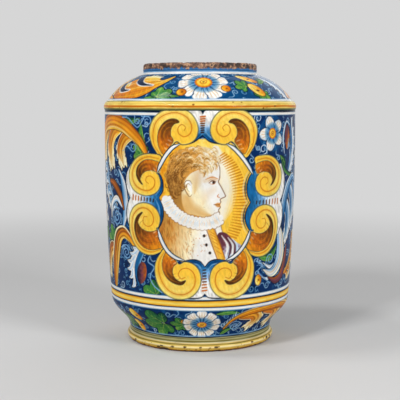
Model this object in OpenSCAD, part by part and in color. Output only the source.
// Albarello: a wide drug jar of tin-glazed earthenware.
// Six thrown clay sections are luted together with slip, a clay cordon is
// laid over the shoulder seam, and a glaze coat covers the outside and the inside.
// Millimetres, +Z up, origin at the centre of the standing edge.

/* [Foot] */
// Outer radius of the rolled foot
foot_r = 86.6; // [80:0.1:95]
// Height of the rolled foot, which is a half round
foot_roll_h = 10; // [6:0.5:14]
// Width of the foot ring, from its bore to its widest line
foot_w = 15.6; // [12:0.1:20]
// Depth of the recess under the base
recess_h = 6; // [3:0.5:8]
// Bevel on the inner edge of the standing face
foot_bevel = 1.5; // [0.5:0.1:2.5]
// How far the waist above the foot draws in from the foot
waist_in = 3.2; // [2:0.1:4.5]
// Height of the waist above the standing edge
waist_z = 13; // [11:0.5:18]

/* [Lower wall] */
// Height of the flared wall, from the waist to the carination
flare_h = 41; // [30:1:60]
// Length of the curve's handles, a longer one gives a sharper flare
flare_handle = 18; // [10:0.5:22]

/* [Body] */
// Largest radius of the body
belly_r = 111.9; // [106:0.1:125]
// How far the belly swells out from the carination, where the lower wall meets the body
belly_swell = 6.3; // [2:0.1:12]
// Height of the largest radius above the carination
belly_rise = 178; // [120:1:210]
// Height of the body wall
body_h = 217; // [180:1:300]

/* [Cordon] */
// Height of the cordon at the shoulder
cordon_h = 10; // [6:0.5:14]
// How far the crown of the cordon stands out from the clay behind it
cordon_crown = 2.5; // [1:0.1:3]

/* [Shoulder] */
// How far the foot of the dome stands in from the belly
shoulder_in = 3.5; // [3:0.1:8]
// Height of the domed shoulder
dome_h = 30.5; // [24:0.5:45]
// Radius of the dome's arc
dome_arc_r = 71; // [50:1:120]

/* [Neck and rim] */
// Radius of the mouth
mouth_r = 60; // [52:0.5:60]
// Thickness of the neck
neck_t = 6.1; // [4:0.1:7]
// Height of the neck
neck_h = 3.5; // [2:0.5:10]
// Thickness of the rim
rim_t = 7; // [6.4:0.1:12]
// Height of the rim
rim_h = 9.5; // [7:0.5:16]
// Rounding of the rim's two edges
rim_round = 3; // [1:0.1:3.2]

/* [Walls] */
// Thickness of the thrown wall
wall_t = 6.6; // [4:0.1:9]
// Thickness of the floor
floor_t = 8; // [6:0.5:12]
// Size of the cove between floor and wall
cove = 12; // [6:1:16]
// Thickness of each glaze coat
glaze_t = 0.6; // [0.3:0.05:1]
// Angle below the foot's widest line at which the glaze stops
glaze_stop = 55; // [30:1:70]

/* [Seams] */
// Height of the lap where two sections join
lap_h = 4; // [2:0.5:6]
// Gap in a lap, which the slip fills
slip_gap = 0.2; // [0.1:0.05:0.5]

/* [Hidden] */
$fn = 96;

// Points along each curved stretch of the profile
roll_steps = 10;
flare_steps = 16;
body_steps = 18;
cordon_steps = 10;
dome_steps = 14;
rim_steps = 6;
cove_steps = 6;

// Angle at which the rolled foot meets the waist
roll_end = 70;
// Share of its size that a curve's handle takes to draw a quarter round
round_handle = 0.55;
// Room past the jar on every side for cutting shapes
margin = 5;

// Radii of the sections
foot_bore_r = foot_r - foot_w;
waist_r = foot_r - waist_in;
carination_r = belly_r - belly_swell;
shoulder_r = belly_r - shoulder_in;
neck_r = mouth_r + neck_t;
rim_r = mouth_r + rim_t;

// Levels of the sections
floor_z = recess_h + floor_t;
carination_z = waist_z + flare_h;
cordon_z = carination_z + body_h;
dome_z = cordon_z + cordon_h;
neck_z = dome_z + dome_h;
rim_z = neck_z + neck_h;
top_z = rim_z + rim_h;
widest = max(belly_r, foot_r) + cordon_crown + margin;

biscuit = "#b98757";
worn_biscuit = "#7d5a42";
cobalt = "#23509b";
tin_white = "#e9e4d6";

function reversed(points) = [for (i = [len(points) - 1 : -1 : 0]) points[i]];

// Points on an arc about a centre, both ends included
function arc(centre, r, from, to, steps) = [
    for (i = [0 : steps])
        let (a = from + (to - from) * i / steps)
        centre + r * [cos(a), sin(a)]
];

// Points on a cubic curve, both ends included
function cubic(a, b, c, d, steps) = [
    for (i = [0 : steps])
        let (t = i / steps, u = 1 - t)
        u * u * u * a + 3 * u * u * t * b + 3 * u * t * t * c + t * t * t * d
];

// Points on an arc of given radius that bulges to the right of the way from a to b
function bulge(a, b, r, steps) =
    let (
        half = norm(b - a) / 2,
        along = (b - a) / (2 * half),
        right = [along[1], -along[0]],
        centre = (a + b) / 2 - sqrt(r * r - half * half) * right,
        from = atan2(a[1] - centre[1], a[0] - centre[0]),
        to = atan2(b[1] - centre[1], b[0] - centre[0])
    )
    arc(centre, r, from, to, steps);

// A line of points moved sideways by a distance, to the right of its way, with mitred corners
function beside(points, distance) = [
    for (i = [0 : len(points) - 1])
        let (
            last = len(points) - 1,
            before = points[max(i, 1)] - points[max(i, 1) - 1],
            after = points[min(i, last - 1) + 1] - points[min(i, last - 1)],
            n1 = [before[1], -before[0]] / norm(before),
            n2 = [after[1], -after[0]] / norm(after)
        )
        points[i] + distance * (n1 + n2) / (1 + n1 * n2)
];

// Radius of a line of points at a height
function radius_at(points, z) = lookup(z, [for (p = points) [p[1], p[0]]]);

// Body wall: one shallow arc whose widest level is belly_rise above the carination
body_arc_r = (belly_rise * belly_rise + belly_swell * belly_swell) / (2 * belly_swell);
function body_r(z) =
    let (rise = z - carination_z - belly_rise)
    belly_r - body_arc_r + sqrt(body_arc_r * body_arc_r - rise * rise);

roll_r = foot_roll_h / 2;
roll_centre = [foot_r - roll_r, roll_r];
foot_line = arc(roll_centre, roll_r, -90, roll_end, roll_steps);
glazed_foot_line = arc(roll_centre, roll_r, -glaze_stop, roll_end, roll_steps);

flare_line = cubic(
    [waist_r, waist_z], [waist_r, waist_z + flare_handle],
    [carination_r, carination_z - flare_handle], [carination_r, carination_z], flare_steps
);
body_line = [
    for (i = [1 : body_steps])
        let (z = carination_z + body_h * i / body_steps)
        [body_r(z), z]
];
dome_line = bulge([shoulder_r, dome_z], [neck_r, neck_z], dome_arc_r, dome_steps);

// Cordon: a round bead from the top of the body wall to the foot of the dome
cordon_foot = [body_r(cordon_z), cordon_z];
cordon_head = [shoulder_r, dome_z];
cordon_half = norm(cordon_head - cordon_foot) / 2;
cordon_arc_r = (cordon_half * cordon_half + cordon_crown * cordon_crown) / (2 * cordon_crown);
cordon_line = bulge(cordon_foot, cordon_head, cordon_arc_r, cordon_steps);

// Rim: straight outside, two rounded edges, then the mouth
rim_outer = arc([rim_r - rim_round, top_z - rim_round], rim_round, 0, 90, rim_steps);
rim_inner = arc([mouth_r + rim_round, top_z - rim_round], rim_round, 90, 180, rim_steps);
rim_line = concat([[neck_r, rim_z], [rim_r, rim_z + rim_r - neck_r]], rim_outer);

// Lines that the sections share, from the foot upwards
wall_line = concat(flare_line, body_line, dome_line);
inner_wall = beside(wall_line, -wall_t);
cove_top = radius_at(inner_wall, floor_z + cove);
cove_line = cubic(
    [cove_top - cove, floor_z], [cove_top - cove + round_handle * cove, floor_z],
    [cove_top, floor_z + cove - round_handle * cove], [cove_top, floor_z + cove], cove_steps
);
throat_z = neck_z - wall_t;
inner_line = concat(
    cove_line,
    [for (p = inner_wall) if (p[1] > floor_z + cove + 1 && p[0] > mouth_r && p[1] < throat_z) p],
    [[mouth_r, throat_z]]
);

module clay_outline() {
    polygon(concat(
        [
            [0, recess_h], [foot_bore_r, recess_h],
            [foot_bore_r, foot_bevel], [foot_bore_r + foot_bevel, 0]
        ],
        foot_line, wall_line, rim_line,
        rim_inner, reversed(inner_line),
        [[0, floor_z]]
    ));
}

// A slice of the half section between two levels and two radii
module slice(z0, z1, r0 = 0, r1 = widest) {
    translate([r0, z0]) square([r1 - r0, z1 - z0]);
}

// Radius of the lap in the middle of the wall
function lap_r(z) = (radius_at(wall_line, z) + radius_at(inner_line, z)) / 2;

// One clay section between two seams: a tongue stands above the upper seam,
// and the lower seam has the rebate that takes the tongue of the section below
module thrown_section(z0, z1, tongue = false, rebate = false) {
    difference() {
        intersection() {
            clay_outline();
            union() {
                slice(z0, z1);
                if (tongue) slice(z1 - slip_gap, z1 + lap_h, r1 = lap_r(z1) - slip_gap / 2);
            }
        }
        if (rebate) slice(z0 - margin, z0 + lap_h + slip_gap, r1 = lap_r(z0) + slip_gap / 2);
    }
}

// The seam under the shoulder lies halfway up the cordon that covers it
shoulder_seam = cordon_z + cordon_h / 2;

module foot_ring() {
    color(biscuit) rotate_extrude() thrown_section(0, recess_h);
}

module base_plate() {
    color(biscuit) rotate_extrude() thrown_section(recess_h, floor_z);
}

module lower_wall() {
    color(biscuit) rotate_extrude() thrown_section(floor_z, carination_z, tongue = true);
}

module body_wall() {
    color(biscuit) rotate_extrude() thrown_section(carination_z, shoulder_seam, tongue = true, rebate = true);
}

module shoulder() {
    color(biscuit) rotate_extrude() thrown_section(shoulder_seam, neck_z, rebate = true);
}

module neck_rim() {
    color(worn_biscuit) rotate_extrude() thrown_section(neck_z, top_z + margin);
}

module shoulder_cordon() {
    color(biscuit) rotate_extrude() polygon(cordon_line);
}

// Outside of the clay with its cordon, from the foot to the underside of the rim
glazed_line = concat(
    glazed_foot_line, flare_line,
    [for (i = [0 : body_steps - 2]) body_line[i]],
    cordon_line,
    [for (i = [1 : dome_steps]) dome_line[i]],
    [[neck_r, rim_z]]
);

module outer_glaze() {
    color(cobalt) rotate_extrude()
        polygon(concat(reversed(glazed_line), beside(glazed_line, glaze_t)));
}

// Inside of the clay, from the middle of the floor to the rim
lined_line = concat([[0, floor_z]], inner_line, [[mouth_r, top_z - rim_round]]);

module inner_glaze() {
    color(tin_white) rotate_extrude()
        polygon(concat(lined_line, reversed(beside(lined_line, -glaze_t))));
}

foot_ring();
base_plate();
lower_wall();
body_wall();
shoulder();
shoulder_cordon();
neck_rim();
outer_glaze();
inner_glaze();
